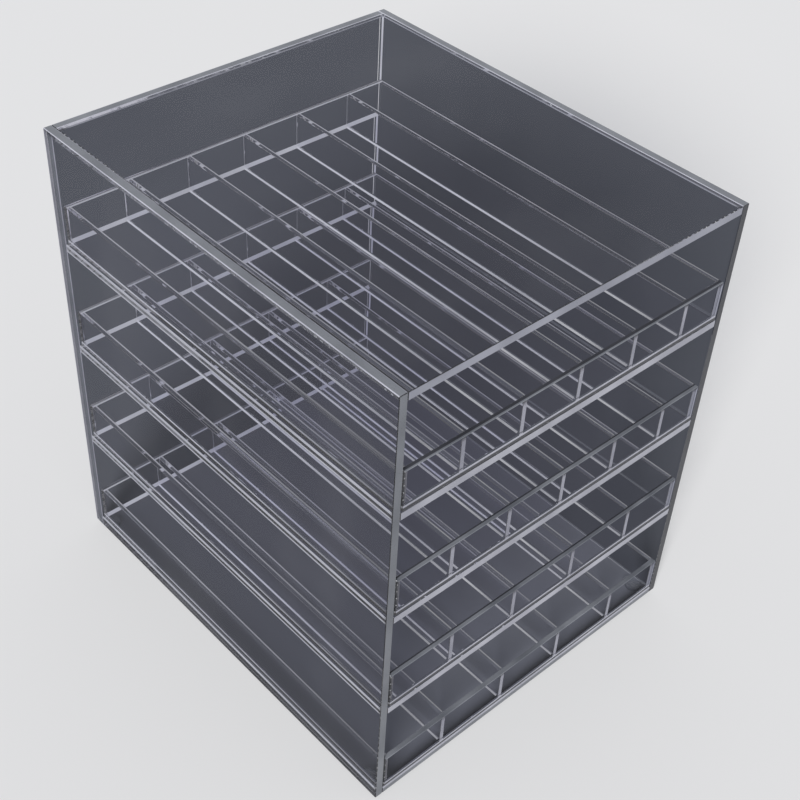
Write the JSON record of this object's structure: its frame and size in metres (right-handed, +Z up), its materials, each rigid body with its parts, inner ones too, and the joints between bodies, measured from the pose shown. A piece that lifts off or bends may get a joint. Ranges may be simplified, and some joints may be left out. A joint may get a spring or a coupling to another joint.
{
  "type": "cosmetic organizer box",
  "caption": "Open-fronted clear acrylic organizer box: stacked shelves, each with a low divided tray that slides out by its front wall.",
  "frame": {"origin": "on the standing surface, under the middle of the case", "axes": "+Z up; the open front faces -Y; +X to the right as seen from the front"},
  "size_m": [0.24, 0.28, 0.296],
  "materials": {
    "case_acrylic": "clear cast acrylic sheet, polished",
    "tray_acrylic": "clear cast acrylic sheet, polished",
    "clear_bumper": "clear soft polyurethane, satin"
  },
  "bodies": {
    "case": {"case_left_side": "case_acrylic", "case_right_side": "case_acrylic", "case_back": "case_acrylic", "case_top": "case_acrylic", "case_bottom": "case_acrylic", "case_shelf_1": "case_acrylic", "case_shelf_2": "case_acrylic", "case_shelf_3": "case_acrylic", "bumper_feet": "clear_bumper"},
    "tray_1": {"tray_1_bottom": "tray_acrylic", "tray_1_front_wall": "tray_acrylic", "tray_1_back_wall": "tray_acrylic", "tray_1_left_wall": "tray_acrylic", "tray_1_right_wall": "tray_acrylic", "tray_1_divider_1": "tray_acrylic", "tray_1_divider_2": "tray_acrylic", "tray_1_divider_3": "tray_acrylic", "tray_1_divider_4": "tray_acrylic", "tray_1_divider_5": "tray_acrylic"},
    "tray_2": {"tray_2_bottom": "tray_acrylic", "tray_2_front_wall": "tray_acrylic", "tray_2_back_wall": "tray_acrylic", "tray_2_left_wall": "tray_acrylic", "tray_2_right_wall": "tray_acrylic", "tray_2_divider_1": "tray_acrylic", "tray_2_divider_2": "tray_acrylic", "tray_2_divider_3": "tray_acrylic", "tray_2_divider_4": "tray_acrylic", "tray_2_divider_5": "tray_acrylic"},
    "tray_3": {"tray_3_bottom": "tray_acrylic", "tray_3_front_wall": "tray_acrylic", "tray_3_back_wall": "tray_acrylic", "tray_3_left_wall": "tray_acrylic", "tray_3_right_wall": "tray_acrylic", "tray_3_divider_1": "tray_acrylic", "tray_3_divider_2": "tray_acrylic", "tray_3_divider_3": "tray_acrylic", "tray_3_divider_4": "tray_acrylic"},
    "tray_4": {"tray_4_bottom": "tray_acrylic", "tray_4_front_wall": "tray_acrylic", "tray_4_back_wall": "tray_acrylic", "tray_4_left_wall": "tray_acrylic", "tray_4_right_wall": "tray_acrylic", "tray_4_divider_1": "tray_acrylic", "tray_4_divider_2": "tray_acrylic", "tray_4_divider_3": "tray_acrylic", "tray_4_divider_4": "tray_acrylic"}
  },
  "joints": [
    {"name": "tray_1_slide", "type": "slide", "parent": "case", "child": "tray_1", "axis": [0, -1, 0], "range_m": [0, 0.24]},
    {"name": "tray_2_slide", "type": "slide", "parent": "case", "child": "tray_2", "axis": [0, -1, 0], "range_m": [0, 0.24]},
    {"name": "tray_3_slide", "type": "slide", "parent": "case", "child": "tray_3", "axis": [0, -1, 0], "range_m": [0, 0.24]},
    {"name": "tray_4_slide", "type": "slide", "parent": "case", "child": "tray_4", "axis": [0, -1, 0], "range_m": [0, 0.24]}
  ]
}
